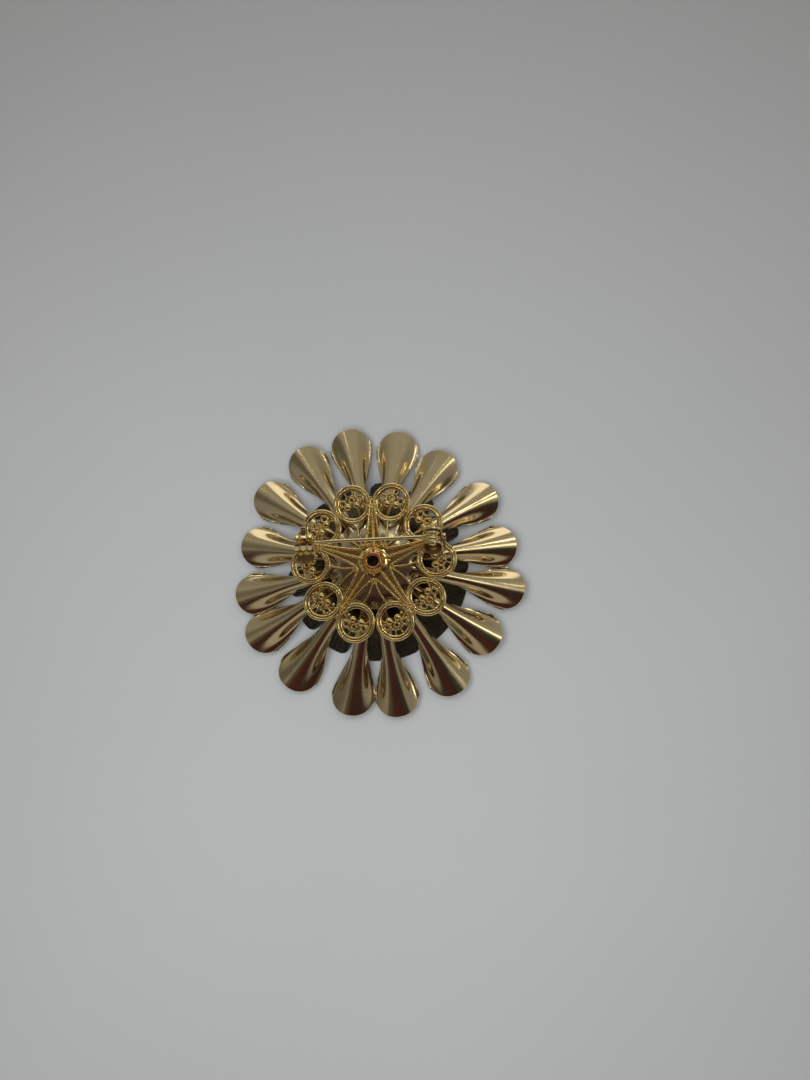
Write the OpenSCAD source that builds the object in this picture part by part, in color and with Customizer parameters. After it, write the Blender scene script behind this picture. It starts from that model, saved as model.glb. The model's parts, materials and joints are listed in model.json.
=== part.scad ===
// Flower brooch, lying on its front: the back plate and the pin face up (+Z), the pin runs along X.
// The origin is under the middle of the flower, on the surface that the front rests on.

/* [Outer petals] */
// Number of trumpet petals
outer_count = 16; // [16:1:16]
// Distance from the axis to an average petal tip
outer_reach = 31.8; // [31:0.1:33]
// Height of the hub disc's upper face
outer_hub_z = 10.2; // [10:0.1:10.4]
// Height of a petal's crest at its tip
outer_tip_z = 3.6; // [3.4:0.1:4]
// Radius of the curled neck of a petal
neck_r = 1.6; // [1.5:0.05:1.65]
// Radius of the flared mouth of a petal
mouth_r = 5.3; // [5:0.1:5.5]
// Half width of a petal's rounded head
head_half_w = 4.8; // [4.6:0.1:4.9]

/* [Ribbed petals] */
// Number of corrugated petals in the front layer
ribbed_count = 14; // [12:1:14]
// Distance from the axis to a corrugated petal's tip
ribbed_reach = 20.2; // [19:0.1:20.4]
// Width of a corrugated petal
ribbed_w = 6.6; // [6:0.1:6.8]
// Corrugations on each petal
rib_count = 7; // [5:1:7]

/* [Inner petals] */
// Number of small petals round the centre
inner_count = 10; // [8:1:10]
// Distance from the axis to a small petal's tip
inner_reach = 12.2; // [11.5:0.1:12.5]
// Width of a small petal
inner_w = 5.2; // [4.8:0.1:5.4]

/* [Sheet and centre] */
// Thickness of the stamped sheet
sheet = 0.4; // [0.35:0.05:0.45]
// Outer radius of the rivet's tube
rivet_r = 1.5; // [1.4:0.05:1.5]
// Radius of the hole through the rivet
rivet_hole_r = 1.15; // [1:0.05:1.15]
// Radius of the centre pearl
pearl_r = 4.4; // [4.2:0.1:4.4]

/* [Back plate] */
// Height of the back plate's underside
plate_z = 10.2; // [10.2:0.1:10.4]
// Thickness of the pierced web
web_t = 0.5; // [0.4:0.1:0.6]
// Height of the wire rims and rails above the underside
rail_h = 0.9; // [0.8:0.1:1]
// Number of scalloped loops
loop_count = 10; // [10:1:10]
// Distance from the axis to the middle of a loop
loop_ring_r = 13.6; // [13.4:0.1:13.8]
// Outer radius of a loop
loop_r = 4.3; // [4.25:0.05:4.4]
// Width of the wire rims and rails
wire_w = 0.7; // [0.6:0.1:0.8]

/* [Pin and catch] */
// Height of the pin's axis
pin_z = 14; // [14:0.1:14.4]
// Distance of the pin's axis from the middle of the flower
pin_y = 4.3; // [4:0.1:4.6]
// Where the hinge rivet sits along the pin
hinge_x = 12.9; // [12.6:0.1:13.2]
// Radius of the pin wire
pin_r = 0.38; // [0.35:0.01:0.4]
// Where the pin's point ends
point_x = -16; // [-16.4:0.1:-15.6]
// Middle of the catch along the pin
catch_x = -14.4; // [-14.6:0.1:-14.2]
// Outer radius of the catch's cheeks
cheek_r = 2; // [1.9:0.1:2.1]

/* [Hidden] */
$fn = 64;

gold = [0.72, 0.6, 0.36];
bright_gold = [0.85, 0.68, 0.28];
copper = [0.62, 0.33, 0.18];
cream = [0.93, 0.9, 0.82];

// Bore through every piece that the rivet's tube passes
rivet_bore_r = rivet_r + 0.05;

// The outer petals were bent by hand, so each leans a little off its even place, in degrees,
// and reaches a little more or less far, in millimetres.
outer_pitch = 360 / outer_count;
outer_first = -13.5;
outer_lean = [2, -1, 0, 3, 2, 1, 0, 0, 0, 0, -4, -3, 1, -2, 0, 1];
outer_extra = [0.9, -0.7, -0.6, -1.4, -0.3, 0.7, 1, 0.8, -1, 0, 0.7, 0.6, 0.8, 1, 0.9, -0.3];
outer_hub_r = 10.4;
outer_start = 9;
outer_root_r = 1.2;
outer_axis_z = outer_hub_z - 0.1 - outer_root_r;

// The petal is the part of the trumpet above this sloping plane
side_slope = 19.5;
side_start_z = 8.6;

// Depth of a corrugation each way, and the widths of a front petal's root
rib_h = 0.2;
ribbed_root_w = 2.6;
inner_root_w = 2.4;

// Bow of a small petal across its width, and the height of its tip
inner_bow = 0.9;
inner_tip_z = 2;

// Front layers, from the back to the front
washer_z = 8.8;
washer_r = 5;
washer_t = outer_hub_z - sheet - washer_z;
ribbed_hub_z = washer_z - sheet;
inner_hub_z = ribbed_hub_z - sheet;
cup_floor_z = inner_hub_z - sheet;
pearl_z = 4.8;
pearl_flat_z = 6.7;
cup_rim_z = 4.6;
rolled_r = 0.4;
boss_h = 1.5;
boss_r = 3.4;
rivet_back_z = plate_z + boss_h + rolled_r;
rivet_front_z = cup_floor_z - rolled_r;

// Heights on the back plate
rail_z = plate_z + rail_h;
star_tip_r = 12.6;
star_tip_half = 1.1;
star_notch_r = 4.4;
arm_count = 5;

// The hollow between an arm's rails is a smaller star
hollow_tip_r = star_tip_r - 1;
hollow_tip_half = 0.45;
hollow_notch_r = star_notch_r - 0.8;

// Thin ribs from the star's notches to the loops
rib_len = 6.2;
rib_w = 0.5;
rib_lean = 24;

// Windows in a loop's web: one round window inwards, two small ones outwards
window_r = 1.8;
window_x = -1.5;
eye_r = 0.7;
eye_x = 2.2;
eye_y = 1.2;

// Hinge, and where the wire starts to taper to its point
base_t = 0.5;
ear_t = 0.5;
ear_r = 1.9;
ear_gap = 2.5;
rivet_pin_r = 0.5;
rivet_head_r = 0.85;
rivet_head_t = 0.35;
head_r = 1.55;
pad_r = 2.1;
pad_reach = 3.5;
pad_back = ear_gap / 2 + ear_t;
tongue_x = 2.4;
tongue_w = 1.4;
tongue_top = 0.6;
taper_x = -8;
point_r = 0.1;

// Running clearance between pieces that turn on each other
fit = 0.06;

// Catch
cheek_w = 1.25;
cheek_gap = 1.5;
sleeve_r = 1.4;
sleeve_bore_r = 0.6;
slot_w = 1;
mouth_w = 1.3;
tab_lean = 25;
tab_root = 1.5;
tab_len = 2;
tab_t = 0.6;
catch_pad_len = 4;
catch_pad_from = -3.6;
catch_pad_w = 5.6;
cheek_foot_half = 1.6;

// Radius of a trumpet petal at t = 0 (root) to 1 (mouth): narrow at the hub, then a neck, then flaring
function trumpet_r(t) = t < 0.15
  ? outer_root_r + (neck_r - outer_root_r) * t / 0.15
  : neck_r + (mouth_r - neck_r) * pow((t - 0.15) / 0.85, 1.5);

module ring_of(count, first = 0) {
  for (i = [0 : count - 1]) rotate([0, 0, first + i * 360 / count]) children();
}

module disc(r, bore_r, z, t) {
  translate([0, 0, z]) difference() {
    cylinder(h = t, r = r);
    translate([0, 0, -1]) cylinder(h = t + 2, r = bore_r);
  }
}

// ---- outer petals

module trumpet(reach) {
  stations = [0, 0.15, 0.35, 0.55, 0.75, 1];
  last = len(stations) - 1;
  run = reach - outer_start;
  slope = atan((outer_axis_z - outer_tip_z + mouth_r) / run);
  long = run / cos(slope);
  outside = [for (t = stations) [trumpet_r(t), long * t]];
  inside = [for (i = [last : -1 : 0]) [trumpet_r(stations[i]) - sheet, long * stations[i]]];
  translate([outer_start, 0, outer_axis_z])
    rotate([0, 90 + slope, 0])
      rotate_extrude() polygon(concat(outside, inside));
}

module trumpet_petal(reach) {
  head_x = reach - head_half_w;
  intersection() {
    trumpet(reach);
    // cut off the trumpet's front half, along a line that keeps the mouth shallow
    translate([outer_start, 0, side_start_z])
      rotate([0, side_slope, 0]) translate([-4, -8, 0]) cube([40, 16, 12]);
    // round head
    linear_extrude(height = 14) union() {
      translate([head_x, 0]) circle(r = head_half_w);
      translate([outer_start - 1, -head_half_w]) square([head_x - outer_start + 1, 2 * head_half_w]);
    }
  }
}

module outer_petals() {
  color(gold) union() {
    disc(outer_hub_r, rivet_bore_r, outer_hub_z - sheet, sheet);
    for (i = [0 : outer_count - 1])
      rotate([0, 0, outer_first + i * outer_pitch + outer_lean[i]])
        trumpet_petal(outer_reach + outer_extra[i]);
  }
}

// ---- front petals

// Outline of a corrugated sheet, seen from its end: the upper line forward, the lower line back
function wave_line(w, ribs, rib_h, drop) = [
  for (i = [0 : 2 * ribs]) [w * (i / (2 * ribs) - 0.5), (i % 2 == 0 ? -rib_h : rib_h) - drop]
];
function wave_sheet(w, ribs, rib_h) = concat(
  wave_line(w, ribs, rib_h, 0),
  [for (i = [2 * ribs : -1 : 0]) wave_line(w, ribs, rib_h, sheet)[i]]
);
// The same for a plain sheet bowed up in the middle
function bow_line(w, bow, drop) = [
  for (i = [-4 : 4]) [w * i / 8, bow * (cos(22.5 * i) - 1) - drop]
];
function bow_sheet(w, bow) = concat(
  bow_line(w, bow, 0),
  [for (i = [8 : -1 : 0]) bow_line(w, bow, sheet)[i]]
);

// A strip with the given end outline, running down from (root_x, root_z) to (reach, tip_z)
module sloping_strip(profile, root_x, root_z, reach, tip_z) {
  slope = atan((root_z - tip_z) / (reach - root_x));
  long = (reach - root_x) / cos(slope) + 1;
  translate([root_x, 0, root_z]) rotate([0, slope, 0]) rotate([90, 0, 90])
    linear_extrude(height = long) polygon(profile);
}

// Plan of a petal with a narrow root and a blunt round tip
module petal_plan(root_x, reach, root_w, w) {
  shoulder_x = reach - w * 0.7;
  shoulder_w = w * 0.6;
  linear_extrude(height = 14) intersection() {
    union() {
      translate([reach - w * 0.62, 0]) circle(r = w * 0.62);
      for (side = [-1, 1])
        polygon([[root_x, 0], [root_x, side * root_w / 2], [shoulder_x, side * shoulder_w], [shoulder_x, 0]]);
    }
    translate([root_x, -w / 2]) square([reach - root_x, w]);
  }
}

module ribbed_petals() {
  hub_r = 7.2;
  root_x = 6.2;
  top_z = ribbed_hub_z + sheet;
  tip_z = sheet + rib_h;
  color(gold) union() {
    disc(hub_r, rivet_bore_r, ribbed_hub_z, sheet);
    ring_of(ribbed_count, 5) intersection() {
      sloping_strip(wave_sheet(ribbed_w + 1, rib_count + 1, rib_h), root_x, top_z, ribbed_reach, tip_z);
      petal_plan(root_x, ribbed_reach, ribbed_root_w, ribbed_w);
    }
  }
}

module inner_petals() {
  hub_r = 5.6;
  root_x = 5;
  top_z = inner_hub_z + sheet;
  color(gold) union() {
    disc(hub_r, rivet_bore_r, inner_hub_z, sheet);
    ring_of(inner_count) intersection() {
      sloping_strip(bow_sheet(inner_w + 1, inner_bow), root_x, top_z, inner_reach, inner_tip_z);
      petal_plan(root_x, inner_reach, inner_root_w, inner_w);
    }
  }
}

// ---- stack through the middle

module spacer_washer() {
  color(gold) disc(washer_r, rivet_bore_r, washer_z, washer_t);
}

module centre_cup() {
  wall_in = pearl_r + 0.05;
  wall_out = wall_in + sheet;
  color(gold) translate([0, 0, cup_rim_z]) difference() {
    cylinder(h = inner_hub_z - cup_rim_z, r = wall_out);
    translate([0, 0, -1]) cylinder(h = cup_floor_z - cup_rim_z + 1, r = wall_in);
    cylinder(h = inner_hub_z, r = rivet_bore_r);
  }
}

module centre_pearl() {
  color(cream) difference() {
    translate([0, 0, pearl_z]) sphere(r = pearl_r);
    translate([-pearl_r, -pearl_r, pearl_flat_z]) cube([2 * pearl_r, 2 * pearl_r, pearl_r]);
  }
}

module tubular_rivet() {
  mid_r = rivet_hole_r + rolled_r;
  color(copper) union() {
    translate([0, 0, rivet_front_z]) rotate_extrude()
      translate([rivet_hole_r, 0]) square([rivet_r - rivet_hole_r, rivet_back_z - rivet_front_z]);
    translate([0, 0, rivet_back_z]) rotate_extrude() translate([mid_r, 0]) circle(r = rolled_r);
    translate([0, 0, rivet_front_z]) rotate_extrude() translate([mid_r, 0]) circle(r = rolled_r);
  }
}

// ---- back plate

// Corners of a five-pointed star with blunt points
function star(tip_r, tip_half, notch_r) = [
  for (i = [0 : arm_count - 1])
    let (a = 18 + i * 360 / arm_count, n = a + 180 / arm_count)
    each [
      [tip_r * cos(a) + tip_half * sin(a), tip_r * sin(a) - tip_half * cos(a)],
      [tip_r * cos(a) - tip_half * sin(a), tip_r * sin(a) + tip_half * cos(a)],
      [notch_r * cos(n), notch_r * sin(n)]
    ]
];

module loop_web() {
  difference() {
    circle(r = loop_r - 0.2);
    translate([window_x, 0]) circle(r = window_r);
    for (side = [-1, 1]) translate([eye_x, side * eye_y]) circle(r = eye_r);
  }
}

module loop_rim() {
  difference() {
    circle(r = loop_r);
    circle(r = loop_r - wire_w);
  }
}

module filigree_plate() {
  color(bright_gold) translate([0, 0, plate_z]) difference() {
    union() {
      linear_extrude(height = web_t) union() {
        ring_of(loop_count) translate([loop_ring_r, 0]) loop_web();
        polygon(star(star_tip_r, star_tip_half, star_notch_r));
      }
      linear_extrude(height = rail_h) union() {
        ring_of(loop_count) translate([loop_ring_r, 0]) loop_rim();
        difference() {
          polygon(star(star_tip_r, star_tip_half, star_notch_r));
          polygon(star(hollow_tip_r, hollow_tip_half, hollow_notch_r));
        }
        ring_of(arm_count, 54) for (lean = [-rib_lean, rib_lean])
          translate([hollow_notch_r, 0]) rotate([0, 0, lean])
            translate([0, -rib_w / 2]) square([rib_len, rib_w]);
      }
      cylinder(h = boss_h, r = boss_r);
    }
    translate([0, 0, -1]) cylinder(h = 5, r = rivet_bore_r);
  }
}

// ---- hinge

module joint_base() {
  ear_y = ear_gap / 2;
  color(bright_gold) translate([hinge_x, pin_y, 0]) union() {
    // pad under the ears, rounded where it reaches towards the middle of the flower
    translate([0, pad_r - pad_reach, rail_z]) union() {
      cylinder(h = base_t, r = pad_r);
      translate([-pad_r, 0, 0]) cube([2 * pad_r, pad_back + pad_reach - pad_r, base_t]);
    }
    for (side = [-1, 1]) translate([0, side * (ear_y + ear_t / 2), pin_z]) difference() {
      union() {
        rotate([90, 0, 0]) cylinder(h = ear_t, r = ear_r, center = true);
        translate([-ear_r, -ear_t / 2, rail_z - pin_z]) cube([2 * ear_r, ear_t, pin_z - rail_z]);
      }
      rotate([90, 0, 0]) cylinder(h = ear_t + 1, r = rivet_pin_r + 0.02, center = true);
    }
    // stop tongue behind the pin's head, on its own strip of the pad
    translate([0, -tongue_w / 2, rail_z]) cube([tongue_x + base_t, tongue_w, base_t]);
    translate([tongue_x, -tongue_w / 2, rail_z]) cube([base_t, tongue_w, pin_z + tongue_top - rail_z]);
  }
}

module joint_rivet() {
  span = ear_gap + 2 * ear_t;
  color(gold) translate([hinge_x, pin_y, pin_z]) rotate([90, 0, 0]) union() {
    cylinder(h = span + 2 * rivet_head_t, r = rivet_pin_r, center = true);
    for (side = [-1, 1]) translate([0, 0, side * (span + rivet_head_t) / 2])
      cylinder(h = rivet_head_t, r = rivet_head_r, center = true);
  }
}

module pin_stem() {
  head_len = ear_gap - 0.2;
  color(bright_gold) difference() {
    union() {
      translate([hinge_x, pin_y, pin_z]) rotate([90, 0, 0]) cylinder(h = head_len, r = head_r, center = true);
      translate([taper_x, pin_y, pin_z]) rotate([0, 90, 0]) cylinder(h = hinge_x - taper_x - 0.8, r = pin_r);
      translate([point_x, pin_y, pin_z]) rotate([0, 90, 0])
        cylinder(h = taper_x - point_x, r1 = point_r, r2 = pin_r);
    }
    translate([hinge_x, pin_y, pin_z]) rotate([90, 0, 0])
      cylinder(h = head_len + 1, r = rivet_pin_r + fit, center = true);
  }
}

// ---- catch

module catch_base() {
  color(bright_gold) translate([catch_x, pin_y, 0]) union() {
    translate([-catch_pad_len / 2, catch_pad_from, rail_z]) cube([catch_pad_len, catch_pad_w, base_t]);
    for (side = [-1, 1]) translate([side * (cheek_gap + cheek_w) / 2, 0, pin_z]) difference() {
      union() {
        rotate([0, 90, 0]) cylinder(h = cheek_w, r = cheek_r, center = true);
        translate([-cheek_w / 2, -cheek_foot_half, rail_z - pin_z])
          cube([cheek_w, 2 * cheek_foot_half, cheek_r]);
      }
      rotate([0, 90, 0]) cylinder(h = cheek_w + 1, r = sleeve_r + fit, center = true);
      translate([-cheek_w, -mouth_w / 2, 0]) cube([2 * cheek_w, mouth_w, cheek_r + 1]);
    }
  }
}

module catch_sleeve() {
  full = cheek_gap + 2 * cheek_w + 0.2;
  mid = cheek_gap - 0.2;
  color(gold) translate([catch_x, pin_y, pin_z]) difference() {
    union() {
      rotate([0, 90, 0]) cylinder(h = full, r = sleeve_r, center = true);
      rotate([0, 90, 0]) cylinder(h = mid, r = cheek_r - 0.1, center = true);
      rotate([tab_lean, 0, 0]) translate([-mid / 2, tab_root, -tab_t / 2]) cube([mid, tab_len, tab_t]);
    }
    rotate([0, 90, 0]) cylinder(h = full + 1, r = sleeve_bore_r, center = true);
    translate([-full, -slot_w / 2, 0]) cube([2 * full, slot_w, cheek_r + 1]);
  }
}

outer_petals();
ribbed_petals();
inner_petals();
spacer_washer();
centre_cup();
centre_pearl();
tubular_rivet();
filigree_plate();
joint_base();
joint_rivet();
pin_stem();
catch_base();
catch_sleeve();
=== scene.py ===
# %% [markdown]
# A gilt flower brooch, lying on its front so that its back shows.
# The CAD frame gives the real size of every piece and where the pin and the catch turn.
# This script dresses that frame: thin stamped petals, a pierced filigree plate with beaded
# wires, and a polished pin, each built where the frame says it is.

# %% Load the frame
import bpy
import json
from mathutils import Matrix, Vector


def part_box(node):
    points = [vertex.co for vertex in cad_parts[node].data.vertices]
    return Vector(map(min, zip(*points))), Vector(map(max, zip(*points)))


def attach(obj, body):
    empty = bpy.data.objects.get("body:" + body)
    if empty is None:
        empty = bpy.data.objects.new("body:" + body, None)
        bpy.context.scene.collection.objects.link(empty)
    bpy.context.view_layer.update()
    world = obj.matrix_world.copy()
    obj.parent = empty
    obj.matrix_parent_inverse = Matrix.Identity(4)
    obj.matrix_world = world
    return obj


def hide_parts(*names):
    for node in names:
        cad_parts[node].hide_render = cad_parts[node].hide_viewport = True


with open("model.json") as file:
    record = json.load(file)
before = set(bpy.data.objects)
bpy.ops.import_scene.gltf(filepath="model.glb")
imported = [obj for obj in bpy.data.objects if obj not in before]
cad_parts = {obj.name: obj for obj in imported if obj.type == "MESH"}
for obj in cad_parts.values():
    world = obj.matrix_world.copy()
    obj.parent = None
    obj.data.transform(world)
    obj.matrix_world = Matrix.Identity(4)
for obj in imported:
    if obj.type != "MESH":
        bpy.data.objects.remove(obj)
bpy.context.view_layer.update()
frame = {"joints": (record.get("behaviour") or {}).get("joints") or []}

# %% [markdown]
# A brooch is measured in millimetres, so every length below is in them, and each mesh is
# turned into metres once, when it is written. The random numbers are seeded, because a
# hand-made unevenness should still come out the same each time.

# %% Tools and units
import json
import math
import random

import bmesh
import bpy
import numpy as np
from mathutils import Matrix, Vector

MM = 0.001
RNG = random.Random(7)
joint_at = {j["name"]: Vector(j["pos_m"]) / MM for j in frame["joints"]}


def node_box(node):
    """Lowest and highest corner of a CAD node, in millimetres."""
    low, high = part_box(node)
    return low / MM, high / MM


print("joints:", {name: [round(x, 2) for x in place] for name, place in joint_at.items()})

# %% [markdown]
# The camera stands almost straight above the brooch, leaning a little towards its lower
# edge. A plain matrix of three small turns is easier to read than aiming at a target,
# because each turn can be tried alone.

# %% Camera
LEAN_X = math.radians(-11.8)
LEAN_Y = math.radians(-4.3)
LEVEL_TURN = math.radians(2.0)
CAMERA_FAR = 264.0
CAMERA_SIDE = (6.2, 6.2)
PETAL_TIP_Z = 3.6

lean = Matrix.Rotation(LEAN_X, 3, "X") @ Matrix.Rotation(LEAN_Y, 3, "Y")
lean = lean @ Matrix.Rotation(LEVEL_TURN, 3, "Z")
to_world = lean.transposed()
camera_at = to_world @ Vector((*CAMERA_SIDE, CAMERA_FAR)) + Vector((0, 0, PETAL_TIP_Z))
camera_data = bpy.data.cameras.new("camera")
camera_data.sensor_width = 36
camera_data.lens = 40
camera_data.clip_start = 0.01
camera = bpy.data.objects.new("camera", camera_data)
camera.matrix_world = Matrix.Translation(camera_at * MM) @ to_world.to_4x4()
bpy.context.scene.collection.objects.link(camera)
bpy.context.scene.camera = camera
print("camera at", [round(x, 1) for x in camera_at], "mm")

# %% [markdown]
# Every piece is made of points and faces in millimetres. Keeping them as plain arrays
# until the last moment lets small parts be joined, repeated and turned with one line of
# arithmetic each, and the mesh is written once, in metres, in the frame's own space.


# %% Pieces from points and faces
def make_piece(name, shape, body, material, sharp=40):
    """A mesh object from (points in mm, faces), riding on a body."""
    points, faces = shape
    mesh = bpy.data.meshes.new(name)
    mesh.from_pydata((np.asarray(points) * MM).tolist(), [], [list(f) for f in faces])
    mesh.validate()
    shell = bmesh.new()
    shell.from_mesh(mesh)
    bmesh.ops.recalc_face_normals(shell, faces=shell.faces)
    shell.to_mesh(mesh)
    shell.free()
    mesh.shade_smooth()
    mesh.set_sharp_from_angle(angle=math.radians(sharp))
    mesh.materials.append(material)
    piece = bpy.data.objects.new(name, mesh)
    bpy.context.scene.collection.objects.link(piece)
    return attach(piece, body)


def join(shapes):
    """Several (points, faces) as one."""
    points, faces, start = [], [], 0
    for some_points, some_faces in shapes:
        points.append(np.asarray(some_points, float))
        faces += [tuple(start + i for i in f) for f in some_faces]
        start += len(some_points)
    return np.vstack(points), faces


def turned(shape, degrees):
    """The shape turned about the brooch's upright axis."""
    points, faces = shape
    cosine, sine = math.cos(math.radians(degrees)), math.sin(math.radians(degrees))
    x, y, z = np.array(points, float).T
    return np.c_[cosine * x - sine * y, sine * x + cosine * y, z], faces


def moved(shape, offset):
    """The shape shifted by an offset in millimetres."""
    points, faces = shape
    return np.asarray(points, float) + np.asarray(offset, float), faces


# %% [markdown]
# Wire is a round section carried along a path. The same sweep makes the needle, the rims
# of the filigree loops and their small rings; a radius for each point lets a wire taper.


# %% Wire
def wire(path, radius, sides, closed=False, flat=1.0):
    """A round wire along the path. radius is one number or one per point; flat squeezes it in Z."""
    path = np.asarray(path, float)
    count = len(path)
    radii = np.broadcast_to(np.asarray(radius, float), (count,))
    if closed:
        along = np.roll(path, -1, 0) - np.roll(path, 1, 0)
    else:
        along = np.gradient(path, axis=0)
    along /= np.linalg.norm(along, axis=1)[:, None]
    up = np.array([0.0, 0.0, 1.0]) if abs(along[:, 2]).max() < 0.9 else np.array([0.0, 1.0, 0.0])
    side = np.cross(up, along)
    side /= np.linalg.norm(side, axis=1)[:, None]
    lift = np.cross(along, side)
    turn = np.linspace(0, 2 * math.pi, sides, endpoint=False)
    rings = (
        path[:, None, :]
        + radii[:, None, None] * np.cos(turn)[None, :, None] * side[:, None, :]
        + radii[:, None, None] * flat * np.sin(turn)[None, :, None] * lift[:, None, :]
    )
    points = rings.reshape(-1, 3)
    faces = []
    for i in range(count if closed else count - 1):
        a, b = i * sides, ((i + 1) % count) * sides
        faces += [(a + j, a + (j + 1) % sides, b + (j + 1) % sides, b + j) for j in range(sides)]
    if not closed:
        faces += [tuple(range(sides))[::-1], tuple((count - 1) * sides + j for j in range(sides))]
    return points, faces


def arc(centre, radius, start, end, count, z, stretch=(1.0, 1.0)):
    """Points on a level arc, from start to end in degrees."""
    a = np.radians(np.linspace(start, end, count))
    return np.c_[
        centre[0] + stretch[0] * radius * np.cos(a),
        centre[1] + stretch[1] * radius * np.sin(a),
        np.full(count, z),
    ]


# %% [markdown]
# Granules and milgrain beads are tiny balls of solder-fused metal. One ball mesh is
# copied to every place by array arithmetic, so hundreds of beads stay one light object.

# %% Beads
BALL_ROWS, BALL_SIDES = 7, 12


def ball(rows=BALL_ROWS, sides=BALL_SIDES):
    """A unit ball as (points, faces)."""
    points, faces = [(0, 0, 1)], []
    for i in range(1, rows):
        a = math.pi * i / rows
        for j in range(sides):
            b = 2 * math.pi * j / sides
            points.append((math.sin(a) * math.cos(b), math.sin(a) * math.sin(b), math.cos(a)))
    points.append((0, 0, -1))
    for j in range(sides):
        k = (j + 1) % sides
        faces.append((0, 1 + j, 1 + k))
        for i in range(rows - 2):
            a, b = 1 + i * sides, 1 + (i + 1) * sides
            faces.append((a + j, b + j, b + k, a + k))
        a = 1 + (rows - 2) * sides
        faces.append((a + k, a + j, len(points) - 1))
    return np.array(points), faces


def beads(places, radii, flat=1.0, fine=False):
    """Balls at the places. radii is one number or one per place."""
    unit, unit_faces = ball(12, 20) if fine else ball()
    unit = unit * (1, 1, flat)
    radii = np.broadcast_to(np.asarray(radii, float), (len(places),))
    return join([(unit * r + np.asarray(p, float), unit_faces) for p, r in zip(places, radii)])


def spaced(path, step, closed=False):
    """Points at even steps along a path, such as beads touching along a rail."""
    path = np.asarray(path, float)
    if closed:
        path = np.vstack([path, path[:1]])
    reach = np.r_[0, np.cumsum(np.linalg.norm(np.diff(path, axis=0), axis=1))]
    count = max(2, round(reach[-1] / step))
    at = np.linspace(0, reach[-1], count + (1 if closed else 0))
    if closed:
        at = at[:-1]
    return np.c_[[np.interp(at, reach, path[:, k]) for k in range(3)]].T


# %% [markdown]
# Stamped flat work, such as the pierced web and the ears of the hinge, starts as an
# outline with holes. Blender's flat curves fill such an outline and round its edges with
# a bevel, which is how a punched and tumbled edge looks.


# %% Pierced flat work
def flat_work(outlines, low, high, edge):
    """A plate between two heights from closed outlines; an outline inside another is a hole."""
    curve = bpy.data.curves.new("flat_work", "CURVE")
    curve.dimensions = "2D"
    curve.fill_mode = "BOTH"
    curve.extrude = (high - low) / 2 - edge
    curve.bevel_depth = edge
    curve.bevel_resolution = 2
    curve.offset = -edge
    for outline in outlines:
        spline = curve.splines.new("POLY")
        spline.points.add(len(outline) - 1)
        for point, (x, y) in zip(spline.points, outline):
            point.co = (x, y, 0, 1)
        spline.use_cyclic_u = True
    holder = bpy.data.objects.new("flat_work", curve)
    bpy.context.scene.collection.objects.link(holder)
    evaluated = holder.evaluated_get(bpy.context.evaluated_depsgraph_get())
    mesh = bpy.data.meshes.new_from_object(evaluated)
    points = np.array([v.co for v in mesh.vertices], float).reshape(-1, 3)
    faces = [tuple(p.vertices) for p in mesh.polygons]
    bpy.data.objects.remove(holder)
    bpy.data.curves.remove(curve)
    bpy.data.meshes.remove(mesh)
    return points + (0, 0, (low + high) / 2), faces


def oval(centre, half_x, half_y, count):
    """Outline of an oval, as (x, y) points."""
    a = np.linspace(0, 2 * math.pi, count, endpoint=False)
    return np.c_[centre[0] + half_x * np.cos(a), centre[1] + half_y * np.sin(a)]


# %% [markdown]
# What is turned on a lathe, such as the cup, the rivets and the pearl, is a profile
# carried round an axis. One closed profile gives a closed ring without a seam.


# %% Turned work
def lathe(profile, sides):
    """A shape turned about Z from (radius, z) points; a closed profile makes a closed ring."""
    profile = np.asarray(profile, float)
    n = len(profile)
    a = np.linspace(0, 2 * math.pi, sides, endpoint=False)
    points = np.array([(r * math.cos(t), r * math.sin(t), z) for t in a for r, z in profile])
    faces = []
    for i in range(sides):
        p, q = i * n, ((i + 1) % sides) * n
        faces += [(p + j, q + j, q + (j + 1) % n, p + (j + 1) % n) for j in range(n)]
    return points, faces


# %% [markdown]
# A shader node group is built once, has named sockets, and is placed in each material
# with its own values. These helpers add one node and its links in a single line, so that
# the groups below read like the arithmetic that they do.


# %% Shader helpers
def new_group(name, inputs, outputs):
    """An empty group with number sockets, and its input and output nodes."""
    group = bpy.data.node_groups.new(name, "ShaderNodeTree")
    for socket, value in inputs.items():
        made = group.interface.new_socket(socket, in_out="INPUT", socket_type="NodeSocketFloat")
        made.default_value = value
    for socket in outputs:
        group.interface.new_socket(socket, in_out="OUTPUT", socket_type="NodeSocketFloat")
    return group, group.nodes.new("NodeGroupInput"), group.nodes.new("NodeGroupOutput")


def feed(tree, given, socket):
    """Links the socket to another one, or sets it when a plain value is given."""
    if hasattr(given, "is_output"):
        tree.links.new(given, socket)
    else:
        socket.default_value = given


def noise_node(tree, vector, scale, detail, rough=0.55):
    """Noise over a vector; its scale is a number or a socket."""
    node = tree.nodes.new("ShaderNodeTexNoise")
    node.inputs["Detail"].default_value = detail
    node.inputs["Roughness"].default_value = rough
    feed(tree, vector, node.inputs["Vector"])
    feed(tree, scale, node.inputs["Scale"])
    return node.outputs["Fac"]


def length_node(tree, vector):
    """How long a vector is."""
    node = tree.nodes.new("ShaderNodeVectorMath")
    node.operation = "LENGTH"
    tree.links.new(vector, node.inputs[0])
    return node.outputs["Value"]


def mix_node(tree, factor, first, second):
    """One colour where the factor is 0 and another where it is 1; each may be a socket."""
    node = tree.nodes.new("ShaderNodeMix")
    node.data_type = "RGBA"
    tree.links.new(factor, node.inputs["Factor"])
    for name, colour in (("A", first), ("B", second)):
        feed(tree, (*colour, 1) if isinstance(colour, tuple) else colour, node.inputs[name])
    return node.outputs["Result"]


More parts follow.
